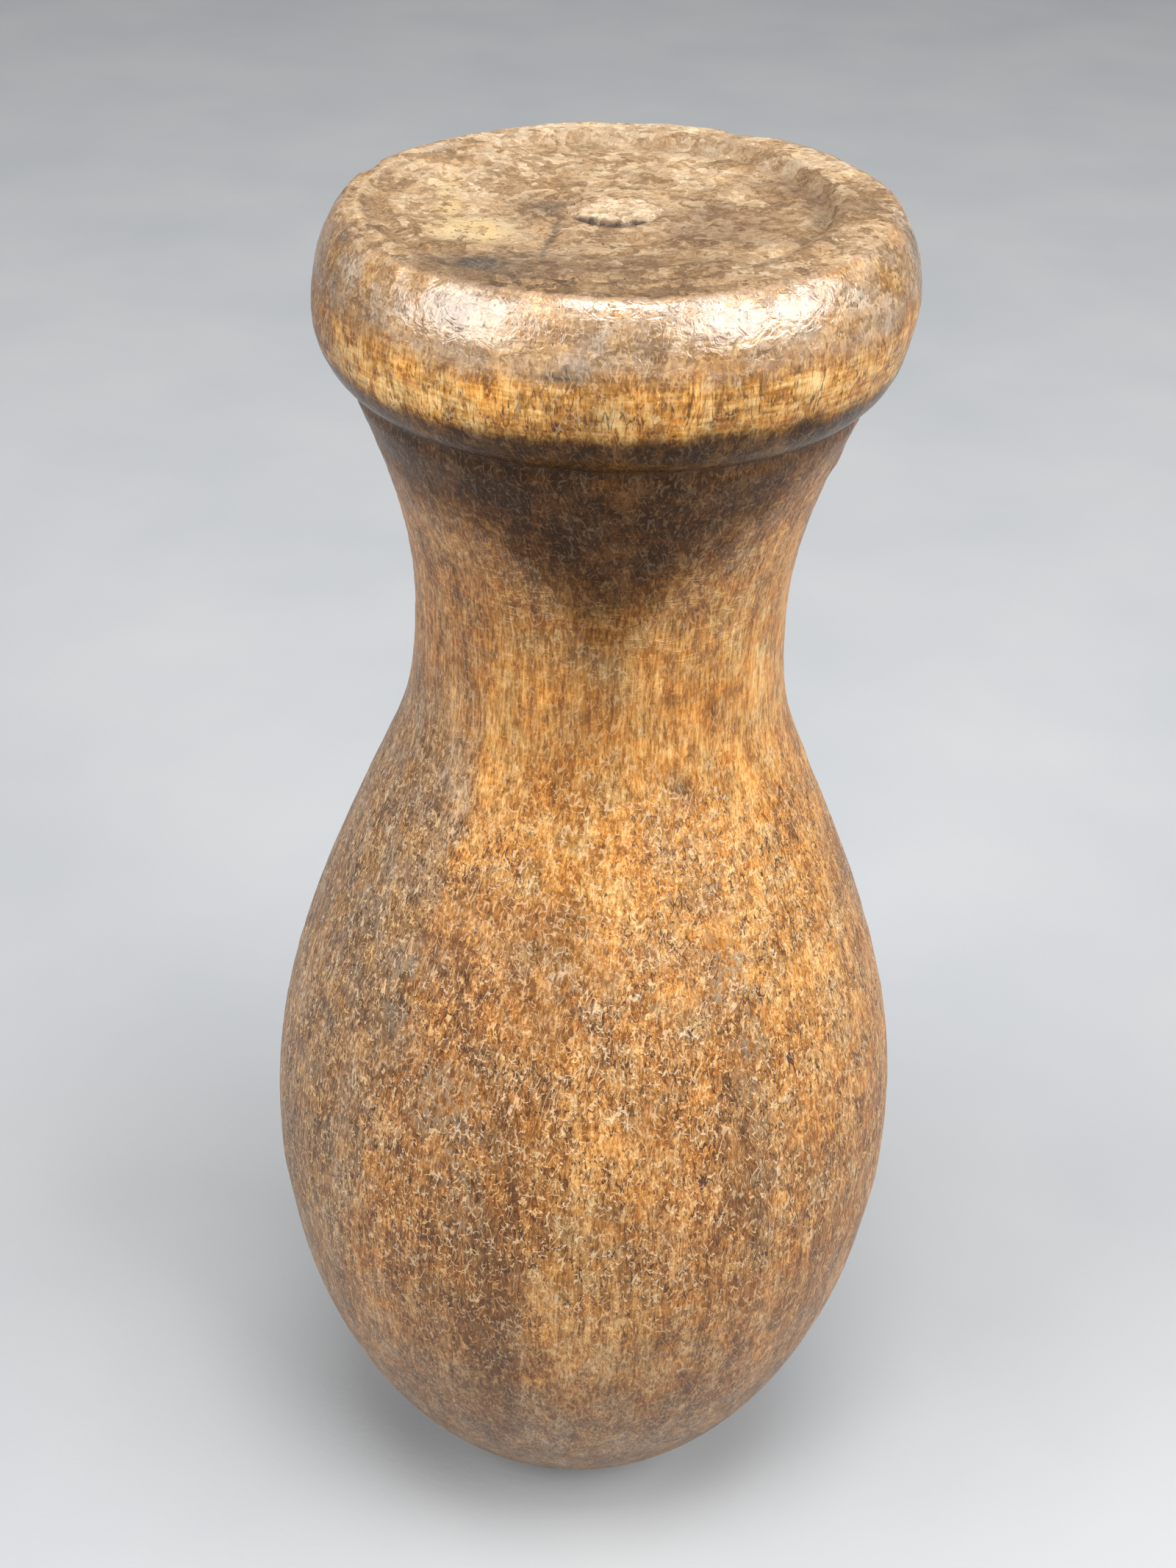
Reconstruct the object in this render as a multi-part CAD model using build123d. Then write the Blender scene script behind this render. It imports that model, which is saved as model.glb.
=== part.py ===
from build123d import *
import math
import os

# Carving mallet, turned in one piece on a lathe: an egg-shaped striking head, a waist to
# grip, and a mushroom knob with a dished end. It stands on the small foot of its head.
# Millimetres. The origin is the centre of the foot, and +Z is the lathe axis.

# Head
HEAD_RADIUS = 40.0  # at the belly, the widest part of the mallet
BELLY_HEIGHT = 57.3
LOWER_SEMI_AXIS = 59.8  # of the ellipse that the head follows from the belly to the foot
HEAD_STEPS = 8  # points of that ellipse that the head's curve passes through
FOOT_EDGE_RADIUS = 4.0  # the foot's edge is sanded round

# Shoulder, waist and the flare under the knob, as (radius, height)
SHOULDER = [(37.1, 78.0), (31.6, 94.0), (24.9, 110.0)]
WAIST_RADIUS = 21.6
WAIST_HEIGHT = 129.0
FLARE = (23.3, 142.0)
FLARE_LIP = (28.5, 156.8)
FLARE_LIP_SLOPE = (0.42, 1.0)

# Shallow crease between the flare and the knob
CREASE_RADIUS = 28.3
CREASE_HEIGHT = 157.6

# Knob: parts of two ellipses that meet at its widest line
KNOB_RADIUS = 32.7
KNOB_HEIGHT = 167.0
KNOB_START_HEIGHT = 158.2  # where the knob's underside begins, just above the crease
KNOB_LOWER_SWELL = 5.4  # semi-axes of the lower ellipse
KNOB_LOWER_DROP = 9.4
KNOB_UPPER_SWELL = 7.8  # semi-axes of the upper ellipse
KNOB_UPPER_RISE = 11.4
TOTAL_HEIGHT = 176.3
RIM_EDGE_RADIUS = 0.7  # the knob's upper edge is worn round

# Dished end of the knob
RECESS_RADIUS = 24.8
RECESS_WALL = 0.9  # width of the sloping wall inside the rim
RECESS_DEPTH = 1.6
DISH_RISE = 0.4  # the dish is a little shallower at its centre than at its wall
RING_RADII = [9.0, 13.5, 18.0]  # turning rings left by the gouge
RING_WIDTH = 1.2
RING_DEPTH = 0.15

# Plugged chuck hole in the middle of the dished end
PLUG_RADIUS = 4.5
PLUG_LENGTH = 22.0
PLUG_PROUD = 0.1  # the plug stands this far above the dish
GLUE_GAP = 0.1  # between the plug and the wall of its hole
DRILL_POINT_DEPTH = 2.5
PLUG_CHAMFER = 0.8  # on the plug's hidden end

recess_floor = TOTAL_HEIGHT - RECESS_DEPTH
dish_centre = recess_floor + DISH_RISE
bore_radius = PLUG_RADIUS + GLUE_GAP
plug_top = dish_centre + PLUG_PROUD
plug_bottom = plug_top - PLUG_LENGTH


def ellipse_arc(centre, semi_axes, start_angle, size):
    """Anticlockwise arc of an upright ellipse, its angles measured in its own parameter."""
    return EllipticalCenterArc(centre, *semi_axes, start_angle, arc_size=size)


def lower_head(foot_angle):
    """Curve from the foot to the belly, through points of the ellipse that the head follows."""
    angles = [math.radians(foot_angle * step / HEAD_STEPS) for step in range(HEAD_STEPS, -1, -1)]
    points = [
        (HEAD_RADIUS * math.cos(angle), BELLY_HEIGHT - LOWER_SEMI_AXIS * math.sin(angle))
        for angle in angles
    ]
    foot_tangent = (HEAD_RADIUS * math.sin(angles[0]), LOWER_SEMI_AXIS * math.cos(angles[0]))
    return Spline(*points, tangents=[foot_tangent, (0, 1)])


def turned_outline():
    """Half section of the blank, from the foot to the rim, closed along the lathe axis."""
    foot_angle = math.degrees(math.asin(BELLY_HEIGHT / LOWER_SEMI_AXIS))
    swell_angle = math.degrees(math.asin((KNOB_HEIGHT - KNOB_START_HEIGHT) / KNOB_LOWER_DROP))
    rim_angle = math.degrees(math.asin((TOTAL_HEIGHT - KNOB_HEIGHT) / KNOB_UPPER_RISE))
    lower_centre = (KNOB_RADIUS - KNOB_LOWER_SWELL, KNOB_HEIGHT)
    upper_centre = (KNOB_RADIUS - KNOB_UPPER_SWELL, KNOB_HEIGHT)

    with BuildSketch(Plane.XZ) as section:
        with BuildLine():
            head = lower_head(foot_angle)
            shoulder = Spline(
                head @ 1,
                *SHOULDER,
                (WAIST_RADIUS, WAIST_HEIGHT),
                tangents=[(0, 1), (0, 1)],
            )
            flare = Spline(shoulder @ 1, FLARE, FLARE_LIP, tangents=[(0, 1), FLARE_LIP_SLOPE])
            crease = Line(flare @ 1, (CREASE_RADIUS, CREASE_HEIGHT))
            swell = ellipse_arc(
                lower_centre, (KNOB_LOWER_SWELL, KNOB_LOWER_DROP), -swell_angle, swell_angle
            )
            Line(crease @ 1, swell @ 0)
            crown = ellipse_arc(upper_centre, (KNOB_UPPER_SWELL, KNOB_UPPER_RISE), 0, rim_angle)
            Polyline(crown @ 1, (0, TOTAL_HEIGHT), (0, 0), head @ 0)
        make_face()
    return section.sketch


def dish_outline():
    """Half section of the wood turned away from the knob's end, and of the chuck hole."""
    with BuildSketch(Plane.XZ) as section:
        with BuildLine():
            Polyline(
                (0, TOTAL_HEIGHT + 1),
                (RECESS_RADIUS, TOTAL_HEIGHT + 1),
                (RECESS_RADIUS, TOTAL_HEIGHT),
                (RECESS_RADIUS - RECESS_WALL, recess_floor),
                (bore_radius, dish_centre),
                (bore_radius, plug_bottom),
                (0, plug_bottom - DRILL_POINT_DEPTH),
                close=True,
            )
        make_face()
        for radius in RING_RADII:
            # The dish rises evenly from its wall to the chuck hole.
            share = (RECESS_RADIUS - RECESS_WALL - radius) / (RECESS_RADIUS - RECESS_WALL - bore_radius)
            height = recess_floor + DISH_RISE * share
            with BuildLine():
                Polyline(
                    (radius - RING_WIDTH / 2, height + RING_DEPTH),
                    (radius, height - RING_DEPTH),
                    (radius + RING_WIDTH / 2, height + RING_DEPTH),
                    close=True,
                )
            make_face()
    return section.sketch


def mallet_body():
    """The one-piece wooden body, with its foot and rim edges softened."""
    blank = revolve(turned_outline(), Axis.Z)
    circles = blank.edges().filter_by(GeomType.CIRCLE).sort_by(Axis.Z)
    blank = fillet(circles[0], FOOT_EDGE_RADIUS)
    rim = blank.edges().filter_by(GeomType.CIRCLE).sort_by(Axis.Z)[-1]
    blank = fillet(rim, RIM_EDGE_RADIUS)
    return blank - revolve(dish_outline(), Axis.Z)


def centre_plug():
    """Short dowel glued into the chuck hole. It rests on the shoulder of the drill point."""
    middle = plug_bottom + PLUG_LENGTH / 2
    dowel = Pos(0, 0, middle) * Cylinder(PLUG_RADIUS, PLUG_LENGTH)
    hidden_edge = dowel.edges().filter_by(GeomType.CIRCLE).sort_by(Axis.Z)[0]
    return chamfer(hidden_edge, PLUG_CHAMFER)


os.makedirs("parts", exist_ok=True)
export_step(mallet_body(), "parts/mallet_body.step")
export_step(centre_plug(), "parts/centre_plug.step")
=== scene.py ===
"""Looks of the carving mallet: the worn turned body and its centre plug, wood materials,
a pale studio floor, soft lights and the camera. Metres, in the frame of the CAD part."""

import bpy
import math
import numpy as np
from mathutils import Matrix, Vector
from types import SimpleNamespace


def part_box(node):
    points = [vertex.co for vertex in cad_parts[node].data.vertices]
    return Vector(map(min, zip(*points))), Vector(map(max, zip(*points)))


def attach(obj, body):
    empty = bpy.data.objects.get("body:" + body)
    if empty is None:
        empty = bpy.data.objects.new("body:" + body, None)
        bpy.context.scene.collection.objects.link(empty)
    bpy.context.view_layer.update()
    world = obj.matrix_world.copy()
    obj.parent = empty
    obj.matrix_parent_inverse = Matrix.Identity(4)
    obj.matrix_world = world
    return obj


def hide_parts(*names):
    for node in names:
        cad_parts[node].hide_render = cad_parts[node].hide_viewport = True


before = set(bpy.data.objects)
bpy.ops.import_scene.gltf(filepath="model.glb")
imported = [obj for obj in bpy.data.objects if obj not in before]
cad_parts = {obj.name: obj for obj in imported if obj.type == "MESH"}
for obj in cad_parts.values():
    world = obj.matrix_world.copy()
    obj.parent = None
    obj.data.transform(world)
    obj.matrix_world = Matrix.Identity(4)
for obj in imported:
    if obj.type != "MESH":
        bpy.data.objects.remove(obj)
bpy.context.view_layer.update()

MM = 0.001
BODY_NODE = "mallet_body"
PLUG_NODE = "centre_plug"

# Grid of the turned body
COLUMNS = 320  # round the axis
ROW_STEP = 0.76  # mm along the profile
FOOT_SWITCH = 22.0  # mm from the axis, where the profile is read from the side and not from below
CROWN_SWITCH = 31.0  # mm from the axis, where it is read from above and not from the side
SOFTENING = 0.38  # mm, how far handling has rounded the crisp turned edges

# Heights of the turned shape, in mm above the foot
CREASE = 157.6  # under the knob
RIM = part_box(BODY_NODE)[1].z / MM
LEAN = 0.02  # slope of the knob's end, up to the right
LEAN_FROM = -12.0  # x in mm, where the lean leaves the height as it is
GROOVE = (25.2, 0.5)  # radius and half width in mm of the groove inside the rim

rng = np.random.default_rng(7)


# ---------------------------------------------------------------- steady noise and soft steps

def lattice(x, y, z, seed):
    """A steady pseudo-random number from 0 to 1 for each point of a whole-number lattice. The
    large factors scatter its bits."""
    n = x * 374761393 + y * 668265263 + z * 2147483647 + seed * 974634777
    n = (n ^ (n >> 13)) * 1274126177
    n = n ^ (n >> 16)
    return (n & 0xFFFFFF) / float(0xFFFFFF)


def noise(points, cell, seed):
    """Smooth noise from -1 to 1 at points in mm. cell is the size of its features, in mm."""
    q = points / np.asarray(cell, float)
    corner = np.floor(q).astype(np.int64)
    t = q - corner
    t = t * t * (3 - 2 * t)
    total = np.zeros(len(points))
    for dx in (0, 1):
        for dy in (0, 1):
            for dz in (0, 1):
                share = (
                    np.where(dx, t[:, 0], 1 - t[:, 0])
                    * np.where(dy, t[:, 1], 1 - t[:, 1])
                    * np.where(dz, t[:, 2], 1 - t[:, 2])
                )
                total += share * lattice(
                    corner[:, 0] + dx, corner[:, 1] + dy, corner[:, 2] + dz, seed
                )
    return total * 2 - 1


def rough_noise(points, cell, seed, octaves=3):
    """Noise with finer noise on top, each octave half as wide and half as strong."""
    total = np.zeros(len(points))
    for octave in range(octaves):
        total += noise(points, np.asarray(cell, float) / 2**octave, seed + octave) / 2**octave
    return total / (2 - 2 ** (1 - octaves))


def ramp(value, low, high):
    """0 below low, 1 above high, and a smooth step between. low may be above high."""
    t = np.clip((value - low) / (high - low), 0, 1)
    return t * t * (3 - 2 * t)


def added(patch, rows):
    """Patches added up, each times its strength. patch is the call that places one."""
    return sum(strength * patch(*where) for strength, *where in rows)


def hump(value, centre, width):
    """1 at the centre, about a third at that width on each side of it, and 0 further away."""
    return np.exp(-(((value - centre) / width) ** 2))


def oval(u, v, wide, tall, tilt, edge):
    """1 in the middle of a tilted oval, fading to 0 outside it. u and v are from its middle."""
    c, s = math.cos(math.radians(tilt)), math.sin(math.radians(tilt))
    across, along = (u * c + v * s) / wide, (v * c - u * s) / tall
    return np.exp(-((across**2 + along**2) ** (edge / 2)))


# ---------------------------------------------------------------- the turned profile

def cast(start, direction):
    """Where a ray first meets the CAD body, in mm. start is in mm."""
    found, place, _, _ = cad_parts[BODY_NODE].ray_cast(
        Vector(start) * MM, Vector(direction)
    )
    if not found:
        raise ValueError(f"the ray from {start} misses the body")
    return place / MM


def read_profile():
    """The body's profile as (radius, height) in mm, from the foot's centre up the outside,
    over the rim and across the dish to the edge of the chuck hole."""
    clear = 200.0
    foot = [cast((r, 0, -clear), (0, 0, 1)) for r in np.arange(0.05, FOOT_SWITCH, 0.25)]
    low = cast((FOOT_SWITCH, 0, -clear), (0, 0, 1)).z
    high = cast((CROWN_SWITCH, 0, clear), (0, 0, -1)).z
    side = [cast((clear, 0, z), (-1, 0, 0)) for z in np.arange(low, high, 0.2)]
    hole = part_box(PLUG_NODE)[1].x / MM + 0.11  # just outside the chuck hole's edge
    top = [cast((r, 0, clear), (0, 0, -1)) for r in np.arange(CROWN_SWITCH, hole, -0.1)]
    return np.array([(p.x, p.z) for p in foot + side + top])


def even_rows(profile):
    """The profile at even steps of its own length, its facets and crisp edges softened."""
    length = np.r_[0, np.cumsum(np.hypot(*np.diff(profile, axis=0).T))]
    fine_step = 0.1
    fine = np.arange(0, length[-1], fine_step)
    radius = np.interp(fine, length, profile[:, 0])
    height = np.interp(fine, length, profile[:, 1])
    reach = int(4 * SOFTENING / fine_step)
    kernel = np.exp(-0.5 * (np.arange(-reach, reach + 1) * fine_step / SOFTENING) ** 2)
    kernel /= kernel.sum()
    smooth = [
        np.convolve(np.pad(line, reach, mode="reflect", reflect_type="odd"), kernel, "valid")
        for line in (radius, height)
    ]
    rows = np.arange(0, fine[-1], ROW_STEP)
    return np.column_stack([np.interp(rows, fine, line) for line in smooth])


# ---------------------------------------------------------------- the body's surface

class Surface:
    """Every grid point of the turned body: where it is, and which way it faces."""

    def __init__(self):
        self.rows = even_rows(read_profile())
        count = len(self.rows)
        heading = np.gradient(self.rows, axis=0)
        heading /= np.hypot(*heading.T)[:, None]
        angle = np.arange(COLUMNS) * 2 * math.pi / COLUMNS
        self.row = np.repeat(np.arange(count), COLUMNS)
        self.azimuth = np.tile(np.where(angle > math.pi, angle - 2 * math.pi, angle), count)
        self.radius, self.height = self.rows[self.row].T
        self.along = self.row * ROW_STEP
        rim_row = int(np.argmax(self.rows[:, 1] > RIM - 0.35))
        self.inside_rim = (self.row - rim_row) * ROW_STEP  # mm in from the rim's edge
        self.on_top = self.inside_rim > 0
        sine, cosine = np.sin(self.azimuth), np.cos(self.azimuth)
        out, up = heading[self.row, 1], -heading[self.row, 0]
        self.points = np.column_stack([self.radius * sine, -self.radius * cosine, self.height])
        self.normals = np.column_stack([out * sine, -out * cosine, up])

    def round_from(self, azimuth):
        """How far each point is round from an azimuth in degrees, in mm. Right is positive."""
        turn = self.azimuth - math.radians(azimuth)
        turn = (turn + math.pi) % (2 * math.pi) - math.pi
        return turn * self.radius

    def side_patch(self, azimuth, height, wide, tall, tilt=0.0, edge=2.0):
        """1 at a spot on the turned side, fading to 0. Sizes in mm, angles in degrees."""
        u, v = self.round_from(azimuth), self.height - height
        return oval(u, v, wide, tall, tilt, edge) * ~self.on_top

    def top_patch(self, x, y, wide, deep, tilt=0.0, edge=2.0):
        """The same for a spot on the knob's end, x and y in mm from the axis."""
        u, v = self.points[:, 0] - x, self.points[:, 1] - y
        return oval(u, v, wide, deep, tilt, edge) * self.on_top


def strike_zone(body):
    """Where the head meets the chisel: strongest round its upper half."""
    ragged = 5 * rough_noise(body.points, 16, 31)
    return ramp(body.height + ragged, 36, 62) * ramp(body.height + ragged, 124, 104)


def skew_knob(body):
    """The knob's end leans about a degree, and its dish is turned off centre."""
    lean = LEAN * ramp(body.height, 160, 172)
    body.points[:, 2] += lean * (body.points[:, 0] - LEAN_FROM)
    dish_shift = -1.6 * ramp(body.radius, 29.0, 25.5) * ramp(body.radius, 7.0, 15.0)
    knob_shift = 0.4 * ramp(body.height, 163, 169)
    fading = np.where(body.on_top, ramp(body.radius, 8, 28), 1)
    body.points[:, 0] += dish_shift * body.on_top + knob_shift * fading


def turning_marks(body):
    """Fine rings left by the gouge, clearest on the knob's end."""
    wander = 0.5 * noise(body.points, 22, 41)
    fine_pitch, coarse_pitch = 1.9, 4.7
    fine = np.sin(2 * math.pi * (body.along + wander) / fine_pitch)
    coarse = np.sin(2 * math.pi * (body.along + 2 * wander) / coarse_pitch)
    depth = 0.006 + 0.014 * ramp(body.height, 112, 135)
    rings = depth * (fine + coarse)
    dish = body.on_top * ramp(body.radius, 5, 7)
    return rings + dish * (0.03 * fine + 0.06 * coarse) * (1 + noise(body.points, 9, 42))


def dents(body, zone):
    """Shallow bruises where the head has struck, each a tilted oval."""
    depth = np.zeros(len(body.points))
    for _ in range(DENT_COUNT):
        azimuth = rng.uniform(-180, 180)
        height = rng.triangular(38, 84, 122)
        size = rng.uniform(0.9, 2.6)
        shape = body.side_patch(
            azimuth, height, size, size * rng.uniform(0.4, 0.9), rng.uniform(0, 180), 3.0
        )
        depth += shape * rng.uniform(0.03, 0.13)
    return -depth * zone


DENT_COUNT = 520

# Chips in the rim: azimuth in degrees, half width and depth in mm
RIM_CHIPS = ((153, 1.4, 0.3), (84, 2.4, 0.4), (-112, 1.8, 0.3), (-42, 1.5, 0.3), (28, 1.2, 0.25))

# Patches on the turned side are rows of strength, azimuth in degrees, height, half width and
# half height in mm, and then tilt in degrees and sharpness of edge, where they aren't 0 and 2.
# Patches on the knob's end have x and y in mm in place of azimuth and height.
# These are the marks that can be told apart. Their strength is their height in mm.
SIDE_MARKS = (
    (-0.8, 26.3, 115.8, 2.1, 0.9, -55),  # nick on the shoulder
    (-0.22, -8.5, 169.1, 3.4, 0.5),  # scratch across the knob
    (-0.3, 5.1, 171.4, 1.5, 1.1, 0, 3),  # round dent on the knob
    (0.25, 73, 151.3, 1.6, 1.5),  # lump in the hollow under it
    (-0.3, -40, 87.5, 1.6, 3.6, 15, 3),  # scuffed hollow on the head
)
END_MARKS = (
    (-0.35, -23.4, -8.4, 1.3, 0.5, 35),  # small forked crack
    (-0.35, -24.4, -7.4, 1.1, 0.4, -30),
)


def rim_wear(body):
    """The rim's edge is rubbed round, uneven, and chipped in a few places."""
    edge = hump(body.inside_rim, 0, 1.3)
    ragged = np.clip(rough_noise(body.points, 5.0, 51) + 0.15, 0, None)
    wear = 0.45 * edge * ragged
    for azimuth, size, depth in RIM_CHIPS:
        across = body.round_from(azimuth) / size
        wear += depth * np.exp(-(across**4)) * np.exp(-((body.inside_rim / 1.4) ** 4))
    return -wear


def worn_side(body):
    """How far the dish's wall has worn away: 1 on the left and front, 0 on the right."""
    return (0.4 + 0.6 * ramp(np.cos(body.azimuth + 0.75), -0.62, -0.1)) * body.on_top


def dish_relief(body):
    """The dish's wall is rubbed almost level on the left and front. On the right there is a
    worn valley at its foot. The grain is torn all over."""
    uneven = 1 + 0.5 * rough_noise(body.points, 8, 61)
    depth = RIM - body.height
    level = 0.8 * worn_side(body) * ramp(body.radius, 9, 24) * depth
    left = ramp(np.cos(body.azimuth + 1.65), 0.2, 0.6)
    groove = -0.30 * left * hump(body.radius, *GROOVE) * uneven
    valley = -0.40 * (1 - worn_side(body)) * hump(body.radius, 23.0, 1.5) * uneven
    crack = -0.25 * body.top_patch(-5.9, -9, 0.45, 8.5, 2, 4)
    torn = 0.20 * rough_noise(body.points, 3.4, 62) + 0.14 * rough_noise(body.points, 1.7, 63, 2)
    return body.on_top * (level + groove + valley + crack + torn * ramp(body.inside_rim, 0, 2))


def crease_wear(body):
    """The crease under the knob, uneven along its length."""
    uneven = 1 + 0.6 * rough_noise(body.points, 9, 71)
    return -0.22 * hump(body.height, CREASE, 0.9) * uneven * ~body.on_top


def wear_body(body):
    """Moves every point along its own normal by the wear, in mm."""
    zone = strike_zone(body)
    outside = 1 - np.exp(-body.radius / 6)  # keeps the middle of the foot and dish whole
    shift = 0.15 * noise(body.points, 36, 11) + 0.045 * rough_noise(body.points, 8, 12)
    shift += zone * 0.05 * rough_noise(body.points, 2.8, 13, 2)
    shift += turning_marks(body) + dents(body, zone) + rim_wear(body) + dish_relief(body)
    shift += added(body.side_patch, SIDE_MARKS) + added(body.top_patch, END_MARKS)
    shift += crease_wear(body)
    standing = ramp(body.height, 0.6, 4)  # the foot stays flat on the bench
    standing = np.where(body.on_top, 1, standing)
    body.points += body.normals * (shift * outside * standing)[:, None]
    skew_knob(body)


# ---------------------------------------------------------------- where the finish changes, and where light and shade are painted

# Patches of each kind of finish, in rows like those of the marks
SHARP_STREAK = ((1.2, -13, 50, 4.5, 22, 1, 3),)  # its right side is a hard line
SIDE_STREAKS = (
    (0.75, 1, 66, 6, 10, 0, 3),
    (0.6, 0, 126, 4, 15, 0, 3),
    (0.4, 12, 52, 5, 12, 0, 3),
    (0.4, -30, 140, 6, 6),
    (0.7, 31, 70, 2.6, 15, 0, 3),
    (0.4, -9, 79, 3, 7),
    (0.6, -97, 80, 4, 30, 0, 3),
    (0.6, 133, 66, 5, 33),
    (0.35, -9, 104, 3.5, 20, 0, 3),
    (1.0, -77, 166, 13, 11, 0, 3),
    (0.6, -1, 166, 4.5, 3.5, 0, 3),
)
END_STREAKS = (
    (0.9, 11.5, -4, 7.5, 8.5, 20, 4),
    (0.5, -5, -21.5, 14, 4),
    (0.4, -7, 0, 3.5, 6, 0, 4),
    (0.7, 20.5, 8, 2.6, 8, 15, 3),
    (0.6, 2, -17, 14, 4, 0, 4),
    (0.5, 26.5, 1, 2.5, 5, 0, 3),
    (0.5, -15, -19, 6, 6, 0, 3),
    (0.5, -19, 19, 3, 3),
)
SIDE_STAINS = (
    (0.9, 82, 173.6, 2.2, 1.8, 0, 4),  # dark chip at the rim
    (0.7, -41, 86.5, 1.4, 3, 20, 3),  # dirt in the scuffed hollow
    (0.8, 32.2, 64.8, 1.2, 0.9),
    (0.6, 6.5, 53.4, 1.4, 0.6),
    (0.8, 25.8, 64, 0.7, 0.6),
    (0.7, -7, 130.5, 0.6, 0.7),
    (1.0, 26.3, 115.6, 2, 0.75, -55),  # dirt in the nick on the shoulder
    (0.9, -8.5, 169.1, 3.6, 0.45),  # dirt in the scratch across the knob
    (0.6, -3, 167.9, 2.4, 0.35),
)
END_STAINS = (
    (1.0, -11.8, -19, 2.5, 2.2, 0, 6),
    (0.8, -7, 1.4, 2.2, 2, 20),
    (0.45, -11, -20, 8, 4.5, 10, 3),
    (0.8, -5.9, -9, 0.35, 8, 2, 4),  # dirt in the long crack
)
BARE_PATCHES = ((1.0, -13.4, -7.6, 4.3, 4.6, -15, 6), (0.9, -16.4, 2.5, 1.4, 7, 4, 4))
PALE_PATCHES = (
    (0.5, -17, 5, 7, 9),
    (0.8, 3.5, -1, 6, 6.5, 0, 3),
    (0.6, 22, -18, 5, 5),
    (0.4, 23, 1, 2, 6),
)
SCUFFS = (
    (1.0, -39, 89, 3.2, 4.5, 10),
    (1.0, -27, 80, 3.4, 5, -20),
    (0.8, -20, 72, 2.8, 8, 5),
    (0.5, -56, 96, 9, 10),
    (0.6, 30, 97, 3, 14),
    (0.5, 8, 97, 12, 5),
    (0.5, 34, 78, 2, 18),
    (0.4, 18, 108, 4, 5),
    (0.7, 100, 90, 8, 12),
    (0.6, -150, 84, 12, 16),
)
GOLD_PATCHES = (
    # The first two, on the right, are partly golden wood and partly a painted highlight from the
    # right window
    (0.85, 50, 96, 17, 24),
    (0.595, 62, 120, 12, 14),
    (0.5, 5, 50, 9, 14, 0, 4),
    (0.4, 1, 72, 7, 14, 0, 3),
)


def knob_zones(body, azimuth, ragged, fine_ragged):
    """Amber varnish round the knob's belly, and worn, polished varnish on its crown."""
    height = body.height
    blotchy = height + 1.6 * ragged + 1.0 * fine_ragged
    knob = ramp(height + 0.5 * fine_ragged, CREASE + 0.6, CREASE + 1.8) * ~body.on_top
    front = ramp(np.abs(azimuth - 4) + 6 * fine_ragged, 92, 62)
    rim_inside = ramp(body.inside_rim, 0.1, 0.7)
    shiny = ramp(height, 168.5, 172) * ramp(body.inside_rim, 1.0, 0.2)
    return {
        "amber": knob * ramp(blotchy, 171.0, 166.8) * front,
        "crown": ramp(blotchy, 167.5, 171.5) * (1 - rim_inside),
        "polish": np.clip(shiny + 0.45 * knob, 0, 1),
        "end_grain": rim_inside,
    }


def grime_zone(body, azimuth, ragged, fine_ragged):
    """Dark grime in the hollow under the knob, with the knob's shadow painted in, reaching furthest
    down at the front.
    """
    height = body.height
    # The lower edge follows the shadow that the knob casts from the high lights, so this is partly
    # painted shadow
    low = 150 - 12 * hump(azimuth, 3, 25) - 4 * hump(azimuth, 0, 12)
    low += 7 * hump(azimuth, 66, 18) - 2 * hump(azimuth, -50, 25)
    hollow = ramp(height + 2.5 * ragged + 1.2 * fine_ragged, low - 8, low + 8)
    hollow = np.maximum(hollow, 0.95 * ramp(height + 1.2 * fine_ragged, 155.0, 157.5))
    high = CREASE + 4.6 + 1.0 * hump(azimuth, 15, 42) + 0.9 * fine_ragged
    return hollow * ramp(height, high + 1.2, high - 1.0) * ~body.on_top


def head_zones(body, azimuth, ragged, fine_ragged):
    """Clean golden wood round the waist and shoulder, with a hard edge on its left, a greyed
    and darkened finish on the left of the head and behind it, and painted shade and sheen towards
    the foot."""
    height = body.height
    left_edge = -37 - 0.12 * (110 - height) + 2.5 * ragged
    band = ramp(height + 5 * ragged, 96, 112) * ramp(height + 4 * ragged, 150, 132)
    inside = ramp(azimuth + fine_ragged, left_edge - 1.2, left_edge + 1.2)
    front = ramp(np.abs(azimuth + 8 * ragged), 150, 110)
    gold = band * inside * front + added(body.side_patch, GOLD_PATCHES)

    left = ramp(azimuth - 3 * ragged, left_edge + 2, left_edge - 3)
    left *= ramp(height + 6 * ragged, 128, 118)
    # Painted shade and sheen: greyer and darker towards the foot
    foot = ramp(height + 7 * ragged, 58, 22)
    rear = 0.7 * ramp(np.abs(azimuth + 10 * ragged), 120, 150) * ramp(height, 128, 108)
    grey = np.maximum(np.maximum(left, foot), rear) * ~body.on_top
    return {"gold": np.clip(gold, 0, 1), "grey": np.clip(grey, 0, 1)}


def mark_zones(body, azimuth, fine_ragged):
    """Dark streaks along the grain, stains, and rubbed places on the head."""
    sharp_side = ramp(azimuth + 0.6 * fine_ragged, -8.5, -10.5)
    streak = added(body.side_patch, SHARP_STREAK) * sharp_side
    streak += added(body.side_patch, SIDE_STREAKS) + added(body.top_patch, END_STREAKS)
    stain = added(body.side_patch, SIDE_STAINS) + added(body.top_patch, END_STAINS)
    scuff = added(body.side_patch, SCUFFS)
    return {
        "streak": np.clip(streak * (1 + 0.6 * fine_ragged), 0, 1),
        "stain": np.clip(stain * (1 + 0.7 * fine_ragged), 0, 1),
        "scuff": np.clip(scuff * (1 + 0.8 * fine_ragged), 0, 1),
    }


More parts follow.
